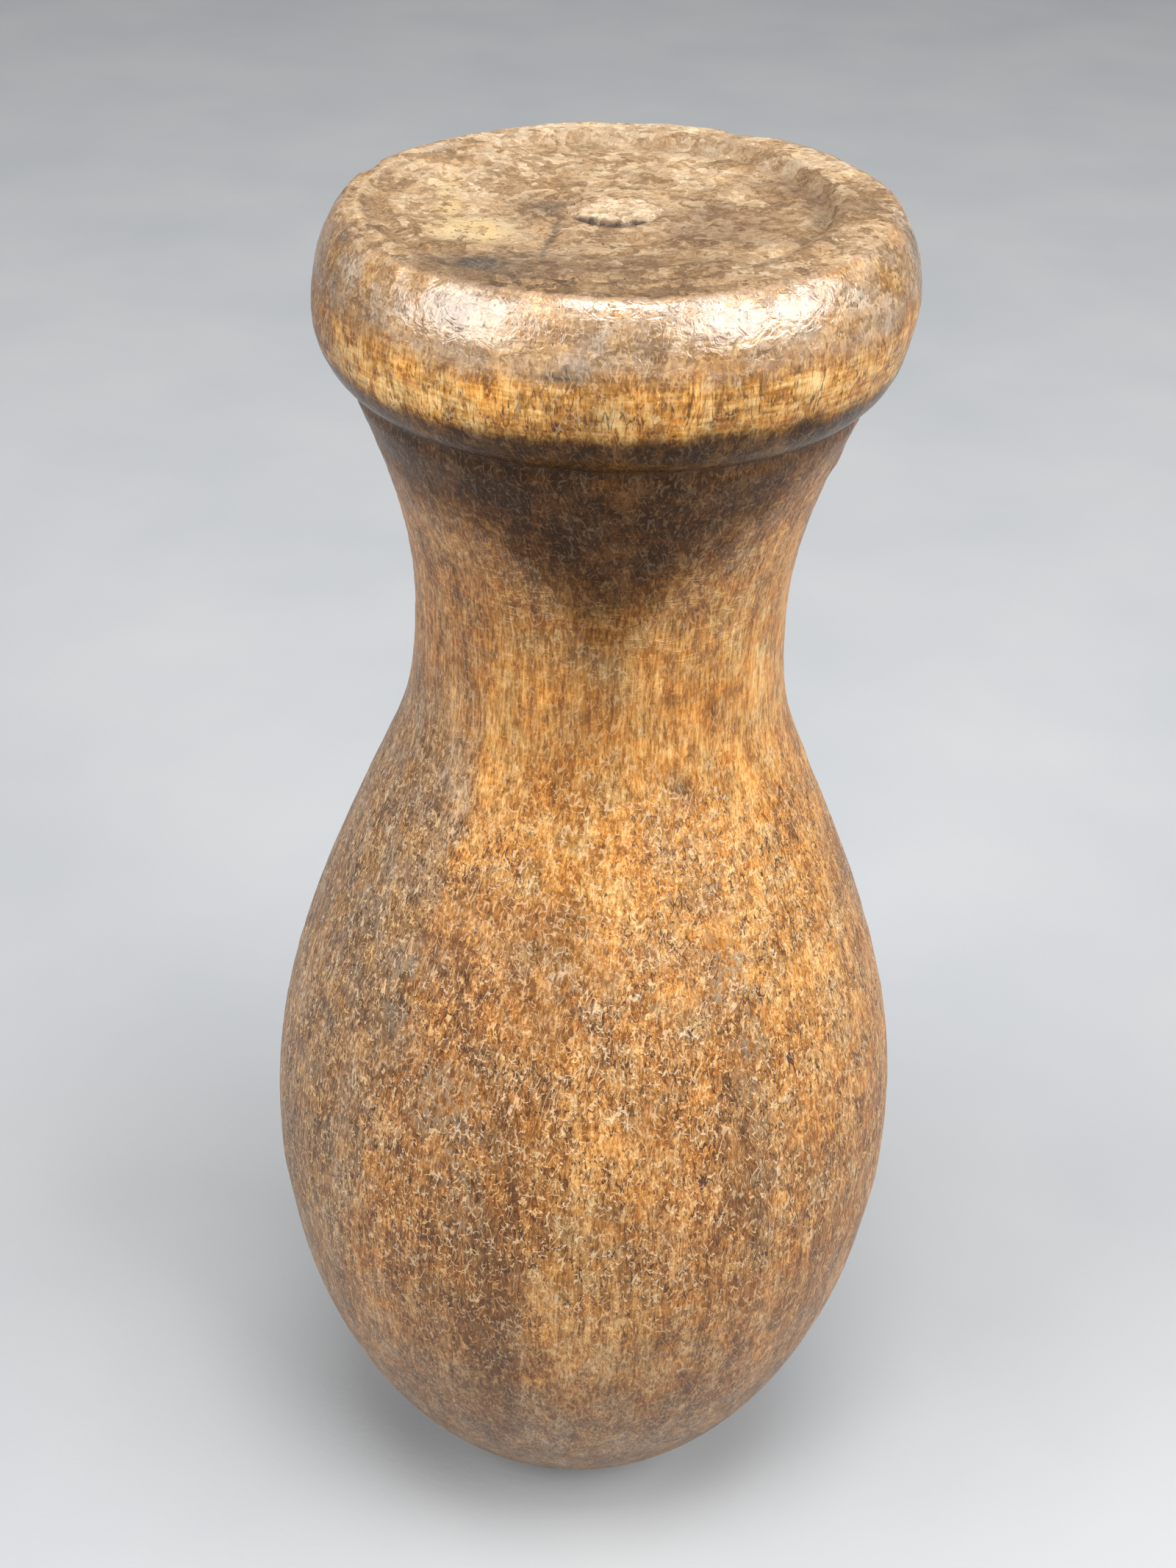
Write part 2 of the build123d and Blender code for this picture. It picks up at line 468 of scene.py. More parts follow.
def end_zones(body, azimuth, ragged, fine_ragged):
    """Bare yellow wood, paler and darker parts (pale is under 0 there), painted light on the far
    side and painted shade on the near side, and a darker band in the dish.
    """
    deep = body.points[:, 1]
    bare = added(body.top_patch, BARE_PATCHES)
    pale = 0.9 * ramp(deep + 3 * ragged, 23, 28) * body.on_top
    pale += hump(body.radius, 26.6, 0.6) * hump(azimuth, -88, 34)
    pale += added(body.top_patch, PALE_PATCHES)
    # Painted light and shade: the far side of the end paler, the near side darker
    pale += (0.7 * ramp(deep, 2, 20) - 1.0 * ramp(deep, -20, -26)) * body.on_top
    # A darker band along the dish's valley and the groove inside the rim
    valley = 1.7 * hump(body.radius, 23.2, 1.5) * (1 - worn_side(body))
    groove = 0.8 * hump(body.radius, *GROOVE) * worn_side(body)
    dish_band = (valley + groove) * body.on_top * (0.8 + 0.5 * ragged)
    return {
        "bare": np.clip(bare * (1.1 + 0.9 * fine_ragged + 0.4 * ragged), 0, 1),
        "pale": np.clip(pale * (1 + 0.8 * fine_ragged), -1, 1.3),
        "dish_band": np.clip(dish_band, 0, 1),
    }


def finish_zones(body):
    """How strong each kind of wear, colour, painted light or painted shade is at every point,
    mostly from 0 to 1.
    """
    azimuth = np.degrees(body.azimuth)
    ragged = rough_noise(body.points, 13, 81)
    fine_ragged = rough_noise(body.points, (2.5, 2.5, 6), 84)
    zones = knob_zones(body, azimuth, ragged, fine_ragged)
    zones |= head_zones(body, azimuth, ragged, fine_ragged)
    zones |= mark_zones(body, azimuth, fine_ragged)
    zones |= end_zones(body, azimuth, ragged, fine_ragged)
    zones["grime"] = grime_zone(body, azimuth, ragged, fine_ragged)
    under_knob = ramp(body.height, CREASE + 1, CREASE) * ~body.on_top
    zones["hand"] = ramp(body.height + 5 * ragged, 124, 140) * under_knob
    zones["strike"] = strike_zone(body)
    return zones


# ---------------------------------------------------------------- meshes

def lathe_faces(rows, columns):
    """Quads between neighbouring rings of a lathe grid, facing outwards."""
    row, column = np.meshgrid(np.arange(rows - 1), np.arange(columns), indexing="ij")
    here = row * columns + column
    right = row * columns + (column + 1) % columns
    return np.stack([here, right, right + columns, here + columns], -1).reshape(-1, 4).tolist()


def fan(centre, ring, columns, below=False):
    """Triangles that join a centre point to a ring of points, facing up, or down if below."""
    pairs = [(ring + a, ring + (a + 1) % columns) for a in range(columns)]
    return [[centre, b, a] if below else [centre, a, b] for a, b in pairs]


def make_piece(name, points, faces, material):
    """A smooth-shaded mesh object that rides with the mallet. points are in mm."""
    mesh = bpy.data.meshes.new(name)
    mesh.from_pydata((np.asarray(points) * MM).tolist(), [], faces)
    mesh.validate()
    mesh.shade_smooth()
    mesh.materials.append(material)
    piece = bpy.data.objects.new(name, mesh)
    bpy.context.scene.collection.objects.link(piece)
    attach(piece, "root")
    return piece


def add_masks(piece, zones):
    """Stores each zone on the mesh, for the material to read."""
    for name, values in zones.items():
        full = np.zeros(len(piece.data.vertices), np.float32)
        full[: len(values)] = values
        piece.data.attributes.new(name, "FLOAT", "POINT").data.foreach_set("value", full)


def worn_body(wood, crown_wood, hollow_wood):
    """The whole turned body, closed at the foot and at the bottom of the chuck hole. The crown
    of the knob has its own, glossier finish, and the hollow under it, grimy and with painted shade,
    a duller one."""
    body = Surface()
    zones = finish_zones(body)
    wear_body(body)
    rows = len(body.rows)
    faces = lathe_faces(rows + 1, COLUMNS)
    hole_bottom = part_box(PLUG_NODE)[0].z / MM - 0.05
    mouth = body.points[-COLUMNS:]
    floor_ring = np.column_stack([mouth[:, :2], np.full(COLUMNS, hole_bottom)])
    foot_centre, hole_centre = (rows + 1) * COLUMNS, (rows + 1) * COLUMNS + 1
    points = np.vstack([body.points, floor_ring, [[0, 0, 0], [0, 0, hole_bottom]]])
    faces += fan(foot_centre, 0, COLUMNS, below=True)
    faces += fan(hole_centre, rows * COLUMNS, COLUMNS)
    piece = make_piece("mallet_body_worn", points, faces, wood)
    piece.data.materials.append(crown_wood)
    piece.data.materials.append(hollow_wood)
    wood_slot, crown_slot, hollow_slot = 0, 1, 2
    slots = np.full(len(piece.data.polygons), wood_slot, np.int32)
    in_hollow = np.where(zones["grime"] > 0.5, hollow_slot, wood_slot)
    slots[: rows * COLUMNS] = np.where(zones["crown"] > 0.5, crown_slot, in_hollow)
    piece.data.polygons.foreach_set("material_index", slots)
    add_masks(piece, zones)
    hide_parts(BODY_NODE)


def worn_plug(material):
    """The dowel's end has mushroomed a little over the edge of its hole. On the front left it
    has broken away and left a dark gap."""
    low, high = (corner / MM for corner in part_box(PLUG_NODE))
    radius, top, bottom = high.x, high.z, low.z
    columns, side_rows, cap_rows = 180, 10, 34
    turn = np.arange(columns) * 2 * math.pi / columns
    around = np.column_stack([np.sin(turn), -np.cos(turn), np.zeros(columns)])
    edge = around * 4.5  # about the plug's radius in mm, where the edge's noise is read
    spread = 0.55 + 0.45 * rough_noise(edge, 2.2, 91) + 0.35 * noise(edge, 0.8, 94)
    broken = ramp(np.cos(turn + 0.17), 0.55, 0.85)
    spread = spread * (1 - broken) + broken * (0.22 * noise(edge, 0.5, 95) - 0.45)
    rings = [np.column_stack([around[:, :2] * radius, np.full(columns, z)])
             for z in np.linspace(bottom, top - 1.2, side_rows)]
    for share in np.linspace(1.0, 0.02, cap_rows):
        reach = (radius + spread * ramp(share, 0.55, 1.0)) * share
        drop = ramp(share, 0.80, 1.0) * (0.25 + 0.55 * broken)
        rings.append(np.column_stack([around[:, :2] * reach[:, None], top + 0.12 - drop]))
    points = np.vstack(rings)
    exposed = ramp(points[:, 2], top - 0.9, top - 0.3)
    torn = 0.20 * rough_noise(points, 1.6, 92) + 0.10 * rough_noise(points, 0.6, 93, 2)
    crack = np.exp(-(((points[:, 0] + 0.6 + 0.5 * points[:, 1]) / 0.20) ** 2))
    points[:, 2] += exposed * (torn - 0.3 * crack * ramp(points[:, 1], 2.0, -1.5))
    points[:, 2] += exposed * LEAN * (points[:, 0] - LEAN_FROM)
    faces = lathe_faces(len(rings), columns)
    faces += fan(len(points), 0, columns, below=True)
    faces += fan(len(points) + 1, len(points) - columns, columns)
    centre = points[-columns:].mean(axis=0)
    points = np.vstack([points, [[0, 0, bottom], centre]])
    piece = make_piece("centre_plug_worn", points, faces, material)
    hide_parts(PLUG_NODE)


# ---------------------------------------------------------------- materials

class Shading:
    """Short calls that build one material's node tree. Lengths in the patterns are in mm."""

    def __init__(self, name):
        self.material = bpy.data.materials.new(name)
        self.material.use_nodes = True
        self.tree = self.material.node_tree
        self.shader = self.tree.nodes["Principled BSDF"]
        place = self.add("ShaderNodeTexCoord").outputs["Object"]
        self.place = self.vector("MULTIPLY", place, (1 / MM, 1 / MM, 1 / MM))

    def put(self, socket, value):
        if isinstance(value, bpy.types.NodeSocket):
            self.tree.links.new(value, socket)
        elif isinstance(value, tuple) and len(value) == 3 and socket.type == "RGBA":
            socket.default_value = (*value, 1.0)
        else:
            socket.default_value = value

    def add(self, kind, inputs=(), **settings):
        node = self.tree.nodes.new(kind)
        for name, value in settings.items():
            setattr(node, name, value)
        for name, value in dict(inputs).items():
            self.put(node.inputs[name], value)
        return node

    def vector(self, operation, a, b):
        return self.add("ShaderNodeVectorMath", {0: a, 1: b}, operation=operation).outputs[0]

    def dot(self, a, b):
        node = self.add("ShaderNodeVectorMath", {0: a, 1: b}, operation="DOT_PRODUCT")
        return node.outputs["Value"]

    def length(self, a):
        return self.add("ShaderNodeVectorMath", {0: a}, operation="LENGTH").outputs["Value"]

    def math(self, operation, a, b=0.0):
        return self.add("ShaderNodeMath", {0: a, 1: b}, operation=operation).outputs[0]

    def times(self, a, b):
        return self.math("MULTIPLY", a, b)

    def plus(self, a, b):
        return self.math("ADD", a, b)

    def weighted(self, base, *parts):
        """base plus each pattern times its weight."""
        for pattern, weight in parts:
            base = self.plus(base, self.times(pattern, weight))
        return base

    def mix(self, share, a, b, blend="MIX"):
        node = self.add("ShaderNodeMix", {0: share, 6: a, 7: b}, data_type="RGBA", blend_type=blend)
        return node.outputs[2]

    def zone(self, name):
        return self.add("ShaderNodeAttribute", attribute_name=name).outputs["Fac"]

    def cells(self, size):
        """The place measured in cells of that size in mm, so that patterns stretch with it."""
        size = (size, size, size) if isinstance(size, (int, float)) else size
        return self.vector("DIVIDE", self.place, size)

    def noise(self, size, detail=2.0, rough=0.5, distort=0.0, shift=0.0):
        """Noise from 0 to 1. shift moves it, so that two of one size differ."""
        where = self.vector("ADD", self.cells(size), (shift, shift, shift))
        inputs = {"Vector": where, "Scale": 1.0, "Detail": detail, "Roughness": rough}
        inputs["Distortion"] = distort
        return self.add("ShaderNodeTexNoise", inputs).outputs["Fac"]

    def spots(self, size, reach, soft, shift=0.0):
        """1 in the middle of scattered ovals of that spacing, 0 outside them."""
        where = self.vector("ADD", self.cells(size), (shift, shift, shift))
        cell = self.add("ShaderNodeTexVoronoi", {"Vector": where, "Scale": 1.0})
        return self.step(cell.outputs["Distance"], reach + soft, reach - soft)

    def step(self, value, low, high, bottom=0.0, top=1.0):
        """A smooth step of value from low to high."""
        inputs = {"Value": value, "From Min": low, "From Max": high}
        inputs.update({"To Min": bottom, "To Max": top})
        node = self.add("ShaderNodeMapRange", inputs, interpolation_type="SMOOTHSTEP")
        return node.outputs["Result"]

    def colours(self, value, *stops):
        """A colour ramp through (position, colour) stops."""
        node = self.add("ShaderNodeValToRGB", {"Fac": value})
        elements = node.color_ramp.elements
        while len(elements) < len(stops):
            elements.new(0.5)
        for element, (position, colour) in zip(elements, stops):
            element.position = position
            element.color = (*colour, 1.0)
        return node.outputs["Color"]

    def palette(self, tone, colours):
        """The surface colour for a tone from 0, darkest, to 1, palest."""
        return self.colours(tone, *zip(TONE_STOPS, colours))

    def centred(self, value):
        return self.math("SUBTRACT", value, 0.5)

    def plan(self):
        """The place with its height left out."""
        return self.vector("MULTIPLY", self.place, (1.0, 1.0, 0.0))

    def hoops(self, long, thin):
        """Noise drawn out round the axis, like the marks of a lathe tool. Sizes in mm."""
        turns = 30.0 / long  # 30 mm is the usual radius
        plan = self.plan()
        round_axis = self.add("ShaderNodeVectorMath", {0: plan}, operation="NORMALIZE").outputs[0]
        across = self.vector("MULTIPLY", round_axis, (turns, turns, 0.0))
        up = self.vector("MULTIPLY", self.place, (0.0, 0.0, 1.0 / thin))
        inputs = {"Vector": self.vector("ADD", across, up), "Scale": 1.0, "Detail": 3.0}
        return self.add("ShaderNodeTexNoise", inputs).outputs["Fac"]

    def rings(self, width):
        """Noise in rings round the axis, each about as wide as width, in mm."""
        outward = self.math("DIVIDE", self.length(self.plan()), width)
        outward = self.add("ShaderNodeCombineXYZ", {0: outward}).outputs[0]
        drift = self.vector("MULTIPLY", self.place, (0.06, 0.06, 0.0))
        inputs = {"Vector": self.vector("ADD", outward, drift), "Scale": 1.0, "Detail": 3.0}
        return self.add("ShaderNodeTexNoise", inputs).outputs["Fac"]

    def flakes(self, size, warp, shift):
        """A tone from 0 to 1 for each of many ragged, hard-edged cells of that size in mm."""
        where = self.vector("ADD", self.cells(size), (shift, shift, shift))
        drift = self.add("ShaderNodeTexNoise", {"Vector": where, "Scale": 1.1, "Detail": 2.0})
        drift = self.vector("MULTIPLY", drift.outputs["Color"], (warp, warp, warp))
        where = self.vector("ADD", where, drift)
        cell = self.add("ShaderNodeTexVoronoi", {"Vector": where, "Scale": 1.0})
        return self.add("ShaderNodeSeparateColor", {0: cell.outputs["Color"]}).outputs[0]

    def strands(self, size, width, patch, shift, slant=0.0):
        """Short thin strokes in patches: 1 on them and 0 between them. width is a share of the
        cell size, patch is the patches' own size in mm, and slant is how far they lean."""
        lean = self.times(self.dot(self.place, (0.0, 0.0, 1.0)), slant)
        lean = self.add("ShaderNodeCombineXYZ", {0: lean, 1: lean}).outputs[0]
        where = self.vector("DIVIDE", self.vector("ADD", self.place, lean), size)
        where = self.vector("ADD", where, (shift, shift, shift))
        inputs = {"Vector": where, "Scale": 1.0, "Detail": 0.6, "Distortion": 0.15}
        line = self.add("ShaderNodeTexNoise", inputs).outputs["Fac"]
        line = self.math("ABSOLUTE", self.centred(line))
        gate = self.step(self.noise(patch, 1, 0.5, 0, shift + 5), 0.47, 0.55)
        return self.times(self.step(line, width, 0.35 * width), gate)

    def bump(self, height):
        """Surface relief from a height in mm."""
        inputs = {"Height": height, "Distance": MM, "Strength": 1.0}
        return self.add("ShaderNodeBump", inputs).outputs["Normal"]


# Linear colours of each kind of surface, from its darkest grain to its palest
TONE_STOPS = (0.08, 0.375, 0.5, 0.625, 0.92)
BROWN = (
    (0.050, 0.018, 0.004), (0.148, 0.057, 0.012), (0.225, 0.092, 0.020), (0.315, 0.143, 0.038),
    (0.530, 0.315, 0.125),
)
GOLD = (
    (0.105, 0.038, 0.007), (0.275, 0.110, 0.019), (0.388, 0.172, 0.032), (0.490, 0.244, 0.060),
    (0.690, 0.440, 0.160),
)
TAUPE = (
    (0.050, 0.026, 0.012), (0.130, 0.068, 0.028), (0.187, 0.101, 0.043), (0.250, 0.147, 0.070),
    (0.430, 0.310, 0.190),
)
AMBER = (
    (0.090, 0.034, 0.005), (0.285, 0.118, 0.018), (0.410, 0.185, 0.032), (0.530, 0.280, 0.068),
    (0.740, 0.500, 0.200),
)
CROWN = (
    (0.055, 0.028, 0.012), (0.180, 0.106, 0.050), (0.270, 0.172, 0.090), (0.360, 0.250, 0.148),
    (0.560, 0.450, 0.320),
)
END_GRAIN = (
    (0.050, 0.026, 0.010), (0.145, 0.081, 0.034), (0.215, 0.131, 0.063), (0.285, 0.190, 0.104),
    (0.460, 0.355, 0.230),
)
PORE = (0.050, 0.018, 0.005)
# Grime in the hollow under the knob, with the knob's shadow painted in; the darker one is also
# painted shade in the plug's broken gap
GRIME_AND_SHADE = (0.024, 0.009, 0.002)
GRIME_AND_SHADE_PALE = (0.056, 0.022, 0.006)
SOOT = (0.030, 0.024, 0.018)
STRAW = (0.370, 0.270, 0.135)
# Painted highlight colour for glints on torn fibre
GLINT = (0.640, 0.440, 0.235)
SCUFF = (0.200, 0.155, 0.098)


def hardwood_patterns(s):
    """The patterns that the wood's colour and relief share. Most are centred on 0."""
    p = SimpleNamespace()
    # The grime zone also carries the knob's painted shadow in the hollow
    p.end_grain, p.polish, p.grime = s.zone("end_grain"), s.zone("polish"), s.zone("grime")

    # Grain drawn out along the axis: broad bands, narrow streaks, single fibres
    bands = s.centred(s.noise((11, 11, 120), 3, 0.55, 0.4))
    p.streaks = s.centred(s.noise((1.9, 1.9, 26), 4, 0.66, 0.25, 7))
    p.fibres = s.centred(s.noise((0.32, 0.32, 3.4), 3, 0.72, 0.4, 13))
    p.long_grain = s.weighted(s.times(bands, 0.42), (p.streaks, 0.80), (p.fibres, 1.20))

    # Unevenness of the varnish and of the surface under it, from broad to fine
    p.cloud = s.centred(s.noise(7.0, 4, 0.6, 0.3, 23))
    p.patches = s.centred(s.flakes((1.6, 1.6, 3.0), 3.4, 53))
    p.mottle = s.centred(s.noise((0.9, 0.9, 1.6), 3, 0.65, 0.5, 3))
    p.chips = s.centred(s.flakes((0.48, 0.48, 1.05), 3.0, 37))
    p.torn = s.centred(s.noise((0.34, 0.34, 0.85), 2, 0.65, 1.0, 19))
    p.open_grain = s.centred(s.noise(0.7, 3, 0.75, 0.8, 17))

    # Round the axis: the lathe's hoops, and the short creases that hands have rubbed
    p.hoops = s.centred(s.hoops(3.2, 0.42))
    p.creases = s.times(s.strands((3.4, 3.4, 0.75), 0.05, 2.4, 171), s.zone("hand"))

    # Where the wood has struck, the grain is broken into chips. Some places stay smooth.
    p.broken = s.step(s.noise(6.5, 2, 0.5, 0.4, 111), 0.40, 0.54, 0.35, 1.0)
    p.broken = s.times(s.zone("strike"), p.broken)
    leaning_right = s.strands((0.66, 0.66, 3.2), 0.044, 0.9, 43, 0.35)
    leaning_left = s.strands((0.72, 0.72, 2.8), 0.044, 1.0, 151, -0.30)
    p.raised = s.math("MAXIMUM", leaning_right, leaning_left)
    p.cracks = s.strands((0.62, 0.62, 3.4), 0.040, 1.3, 61)
    p.cracks = s.times(p.cracks, s.weighted(0.35, (p.broken, 0.6)))
    p.pores = s.spots((0.6, 0.6, 3.0), 0.15, 0.07, 31)
    p.pores = s.times(p.pores, s.step(p.cloud, -0.08, 0.08, 0.15, 0.7))

    # The wood's tone
    bruised = s.weighted(s.times(p.mottle, 0.15), (p.torn, 0.60), (p.chips, 0.18))
    p.tone = s.weighted(
        s.plus(p.long_grain, 0.5),
        (p.cloud, 0.55),
        (p.hoops, 0.22),
        (p.mottle, 0.38),
        (p.chips, 0.10),
        (p.patches, 0.13),
        (p.creases, 0.14),
        (bruised, p.broken),
    )
    return p


def side_colour(s, p):
    """The turned side: brown wood, gold and grey in places, and amber varnish on the knob."""
    colour = s.palette(p.tone, BROWN)
    colour = s.mix(s.times(s.zone("gold"), 0.85), colour, s.palette(p.tone, GOLD))
    colour = s.mix(s.times(s.zone("grey"), 0.85), colour, s.palette(p.tone, TAUPE))
    flecks = s.strands((0.55, 0.55, 3.6), 0.045, 1.5, 67)
    dull = s.centred(s.noise((3.2, 3.2, 2.4), 3, 0.6, 0.6, 119))
    tone = s.weighted(
        p.tone, (dull, 0.75), (p.patches, 0.20), (p.hoops, 0.50), (p.long_grain, -0.45)
    )
    amber = s.mix(s.times(flecks, 0.75), s.palette(tone, AMBER), PORE)
    return s.mix(s.zone("amber"), colour, amber)


def crown_colour(s, p):
    """The knob's crown: wrinkled varnish that has lost its colour."""
    wrinkles = s.centred(s.flakes((1.3, 1.3, 1.0), 3.4, 83))
    tone = s.weighted(
        0.5, (wrinkles, 0.26), (p.cloud, 0.5), (p.hoops, 0.3), (p.open_grain, 0.35)
    )
    return s.palette(tone, CROWN)


def end_colour(s, p, end_chips):
    """The knob's end: open end grain that has lost its colour."""
    end_patches = s.centred(s.flakes((2.6, 2.6, 2.6), 3.8, 73))
    tone = s.weighted(
        0.5,
        (p.open_grain, 0.24),
        (end_chips, 0.24),
        (end_patches, 0.32),
        (s.centred(s.rings(0.9)), 0.20),
        (p.cloud, 0.4),
        (s.zone("pale"), 0.17),
    )
    return s.palette(tone, END_GRAIN)


def marked(s, p, colour, end_chips):
    """The colour under pores, cracks, streaks, rubbed places, the dish's darker band, grime with
    the knob's painted shadow, and stains.
    """
    off_end = s.step(p.end_grain, 1.0, 0.0, 0.1, 1.0)
    colour = s.mix(s.times(s.math("MAXIMUM", p.pores, p.cracks), off_end), colour, PORE)
    colour = s.mix(s.times(s.zone("streak"), 0.55), colour, PORE)
    scuffed = s.times(s.zone("scuff"), s.step(p.mottle, -0.06, 0.10))
    colour = s.mix(s.times(scuffed, 0.75), colour, SCUFF)
    colour = s.mix(s.times(s.zone("bare"), s.step(end_chips, -0.45, 0.0)), colour, STRAW)
    dish_band = s.times(s.zone("dish_band"), s.step(p.cloud, -0.1, 0.12, 0.3, 0.85))
    colour = s.mix(dish_band, colour, END_GRAIN[0])
    # Grime under the knob, darkened further with the knob's painted shadow
    grime_tone = s.weighted(p.tone, (p.hoops, 0.45), (p.patches, 0.2))
    grime_colour = s.mix(s.step(grime_tone, 0.34, 0.72), GRIME_AND_SHADE, GRIME_AND_SHADE_PALE)
    cover = s.step(p.cloud, 0.15, -0.1, 0.86, 0.98)
    colour = s.mix(s.times(p.grime, cover), colour, grime_colour)
    return s.mix(s.times(s.zone("stain"), 0.85), colour, SOOT)


def glinting(s, p, colour):
    """The colour with painted highlights: glinting pale ends of torn fibre, and small bright points
    in clusters.
    """
    clusters = s.step(s.noise(2.6, 2, 0.5, 0, 97), 0.52, 0.60)
    points = s.times(s.spots((0.5, 0.5, 0.75), 0.15, 0.06, 89), clusters)
    glints = s.math("MAXIMUM", s.times(p.raised, 0.85), points)
    share = s.weighted(0.33, (p.broken, 0.42))
    calm = s.step(s.math("MAXIMUM", p.grime, p.end_grain), 0.0, 1.0, 1.0, 0.35)
    return s.mix(s.times(glints, s.times(share, calm)), colour, GLINT)


def tinted(s, p, colour):
    """Old varnish is redder in some places and yellower in others."""
    drift = s.noise(4.0, 4, 0.65, 0.5, 101)
    hue = s.colours(drift, (0.34, (1.12, 0.96, 0.70)), (0.66, (0.92, 1.03, 1.30)))
    return s.mix(s.step(p.end_grain, 0.0, 1.0, 1.0, 0.35), colour, hue, "MULTIPLY")


def hardwood_relief(s, p):
    """The relief in mm: open grain, chips, folds in the varnish and the lathe's hoops."""
    filled = s.step(p.polish, 0.2, 1.0, 1.0, 0.3)
    deep = s.math("MAXIMUM", p.broken, s.times(p.end_grain, 0.6))
    folds = s.centred(s.noise((1.8, 1.8, 1.3), 2, 0.6, 1.2, 127))
    return s.weighted(
        s.times(s.plus(p.fibres, p.streaks), s.times(filled, 0.06)),
        (p.mottle, s.weighted(0.0, (filled, 0.07), (deep, 0.14))),
        (s.weighted(p.torn, (p.chips, 0.25)), s.weighted(0.02, (p.broken, 0.10))),
        (s.math("SUBTRACT", p.raised, p.cracks), s.times(p.broken, 0.07)),
        (s.times(folds, p.polish), 0.15),
        (p.hoops, 0.03),
        (p.creases, 0.05),
        (s.times(p.open_grain, p.end_grain), 0.13),
        (p.pores, -0.05),
    )


def turned_hardwood(name, shine):
    """Close-grained hardwood under old varnish, with the marks that use has left on it. shine
    is how strongly the varnish reflects."""
    s = Shading(name)
    p = hardwood_patterns(s)
    end_chips = s.centred(s.flakes((0.75, 0.75, 0.75), 3.4, 71))
    colour = s.mix(s.zone("crown"), side_colour(s, p), crown_colour(s, p))
    colour = s.mix(p.end_grain, colour, end_colour(s, p, end_chips))
    colour = glinting(s, p, marked(s, p, colour, end_chips))
    s.put(s.shader.inputs["Base Color"], tinted(s, p, colour))
    rough = s.weighted(
        0.40, (p.mottle, 0.25), (p.end_grain, 0.30), (p.polish, -0.17), (p.grime, -0.12)
    )
    s.put(s.shader.inputs["Roughness"], rough)
    s.shader.inputs["Specular IOR Level"].default_value = shine
    s.put(s.shader.inputs["Normal"], s.bump(hardwood_relief(s, p)))
    return s.material


def plug_wood():
    """The dowel's end: pale, bare end grain with dark pores, and painted shade in the gap at its
    broken edge.
    """
    s = Shading("plug_wood_worn")
    pores = s.spots(0.55, 0.16, 0.07)
    torn = s.noise(0.9, 4, 0.65, 0.4, 3)
    flakes = s.centred(s.flakes((0.9, 0.9, 0.9), 3.4, 77))
    blotches = s.centred(s.noise(1.6, 2, 0.6, 0.5, 45))
    off_centre = s.length(s.vector("ADD", s.plan(), (-0.9, 0.7, 0.0)))
    pale = s.step(s.weighted(off_centre, (blotches, 4.5)), 4.6, 3.6, 0.0, 0.26)
    colour = s.palette(s.plus(s.weighted(torn, (flakes, 0.30)), pale), END_GRAIN)
    colour = s.mix(s.times(pores, 0.55), colour, PORE)
    ragged = s.times(s.centred(torn), 0.9)
    # Painted shade in the broken gap on the front left
    front_left = s.dot(s.place, (-0.17, -0.985, 0.0))
    edge = s.times(
        s.step(s.plus(s.length(s.plan()), ragged), 3.2, 3.8),
        s.step(s.plus(front_left, ragged), 2.4, 3.1),
    )
    colour = s.mix(s.times(edge, 0.95), colour, GRIME_AND_SHADE)
    s.put(s.shader.inputs["Base Color"], colour)
    s.put(s.shader.inputs["Roughness"], s.weighted(0.62, (torn, 0.2)))
    s.put(s.shader.inputs["Normal"], s.bump(s.weighted(0.0, (s.centred(torn), 0.3), (pores, -0.1))))
    return s.material


def studio_floor():
    """Plain pale matt card, with the faintest unevenness."""
    s = Shading("pale_card")
    cloud = s.noise(60.0, 3, 0.5)
    s.put(
        s.shader.inputs["Base Color"],
        s.colours(cloud, (0.3, (0.30, 0.31, 0.32)), (0.7, (0.33, 0.335, 0.34))),
    )
    s.shader.inputs["Roughness"].default_value = 0.85
    s.put(s.shader.inputs["Normal"], s.bump(s.times(s.noise(1.5, 3, 0.6), 0.05)))
    return s.material


# ---------------------------------------------------------------- stage, lights and camera

def stage():
    """A pale floor that sweeps up into a backdrop behind the mallet."""
    half_width, front, bend_start, bend_radius, top = 2.5, -2.5, 0.9, 0.5, 2.5
    bend = [math.radians(a) for a in range(0, 91, 6)]
    line = [(front, 0.0)]
    line += [
        (bend_start + bend_radius * math.sin(a), bend_radius * (1 - math.cos(a))) for a in bend
    ]
    line.append((bend_start + bend_radius, top))
    points = [(x, y, z) for y, z in line for x in (-half_width, half_width)]
    faces = [(2 * i, 2 * i + 1, 2 * i + 3, 2 * i + 2) for i in range(len(line) - 1)]
    mesh = bpy.data.meshes.new("studio_floor")
    mesh.from_pydata(points, [], faces)
    mesh.shade_smooth()
    mesh.materials.append(studio_floor())
    floor = bpy.data.objects.new("studio_floor", mesh)
    bpy.context.scene.collection.objects.link(floor)


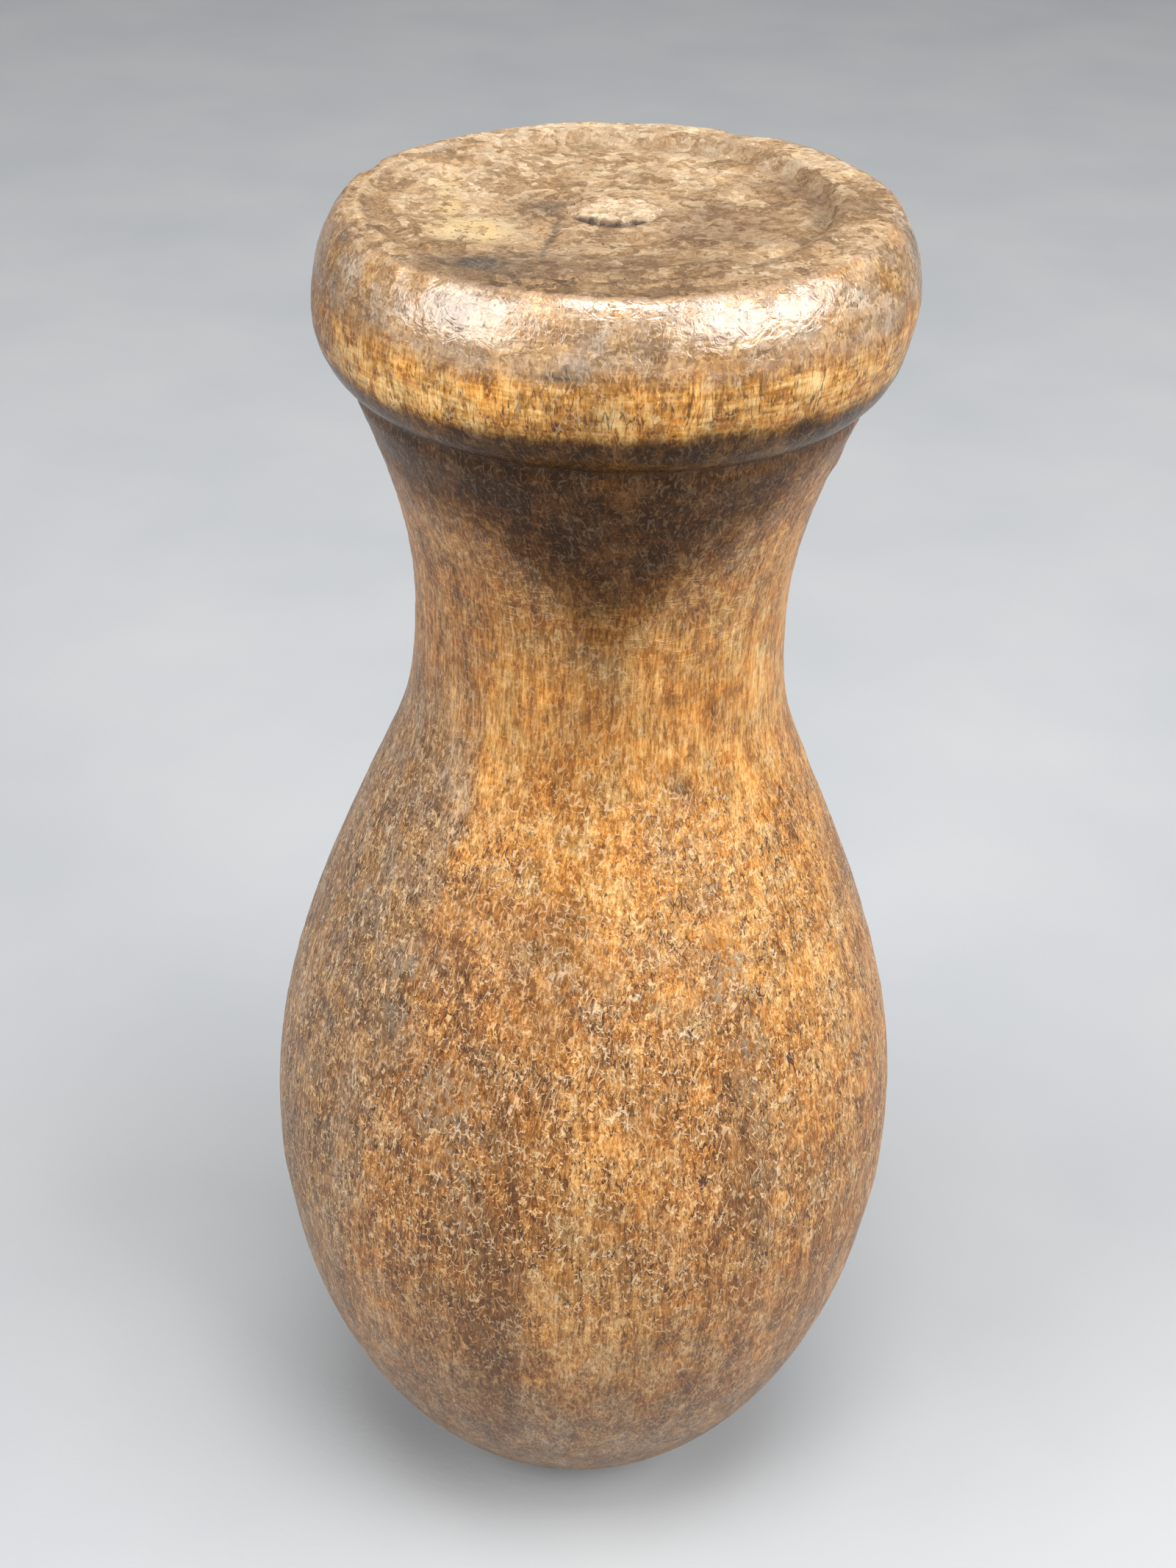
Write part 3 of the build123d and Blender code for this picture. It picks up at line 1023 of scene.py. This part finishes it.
def softbox(name, azimuth, elevation, distance, size, power):
    """A soft rectangular light aimed at the knob. Azimuth 0 is in front, 90 to the right."""
    target = Vector((0, 0, 0.13))
    a, e = math.radians(azimuth), math.radians(elevation)
    heading = Vector((math.sin(a) * math.cos(e), -math.cos(a) * math.cos(e), math.sin(e)))
    light = bpy.data.lights.new(name, "AREA")
    light.shape = "RECTANGLE"
    light.size, light.size_y = size
    light.energy = power
    lamp = bpy.data.objects.new(name, light)
    lamp.location = target + heading * distance
    lamp.rotation_euler = heading.to_track_quat("Z", "Y").to_euler()
    bpy.context.scene.collection.objects.link(lamp)


def lights():
    """Two bright windows above, left and right of the front, a high front light, a broad soft
    sky and a light behind."""
    softbox("window_left", -60, 32, 1.0, (0.68, 0.74), 11.2)
    softbox("window_right", 61, 36, 1.0, (0.95, 0.60), 16.0)
    softbox("high_front", 6, 71, 1.0, (0.50, 0.36), 10.5)
    softbox("behind", 175, 55, 1.3, (1.2, 0.5), 5.0)
    world = bpy.data.worlds.new("studio_air")
    world.use_nodes = True
    background = world.node_tree.nodes["Background"]
    background.inputs["Color"].default_value = (0.90, 0.93, 1.0, 1.0)
    background.inputs["Strength"].default_value = 0.14
    bpy.context.scene.world = world


def camera():
    """Looks down at the mallet from in front, held a little askew."""
    lens, distance, height = 54.1, 0.2442, 0.2563
    pitch, yaw, roll = math.radians(32.03), math.radians(0.17), math.radians(2.02)
    data = bpy.data.cameras.new("camera")
    data.lens = lens
    data.clip_start = 0.01
    eye = bpy.data.objects.new("camera", data)
    turn = Matrix.Rotation(yaw, 4, "Z") @ Matrix.Rotation(math.pi / 2 - pitch, 4, "X")
    turn = turn @ Matrix.Rotation(roll, 4, "Z")
    eye.matrix_world = Matrix.Translation((0, -distance, height)) @ turn
    bpy.context.scene.collection.objects.link(eye)
    bpy.context.scene.camera = eye


worn_body(
    turned_hardwood("turned_hardwood_worn", 0.35),
    turned_hardwood("knob_varnish_worn", 1.0),
    turned_hardwood("hollow_grime_worn", 0.15),
)
worn_plug(plug_wood())
stage()
lights()
camera()
bpy.context.scene.view_settings.view_transform = "Standard"
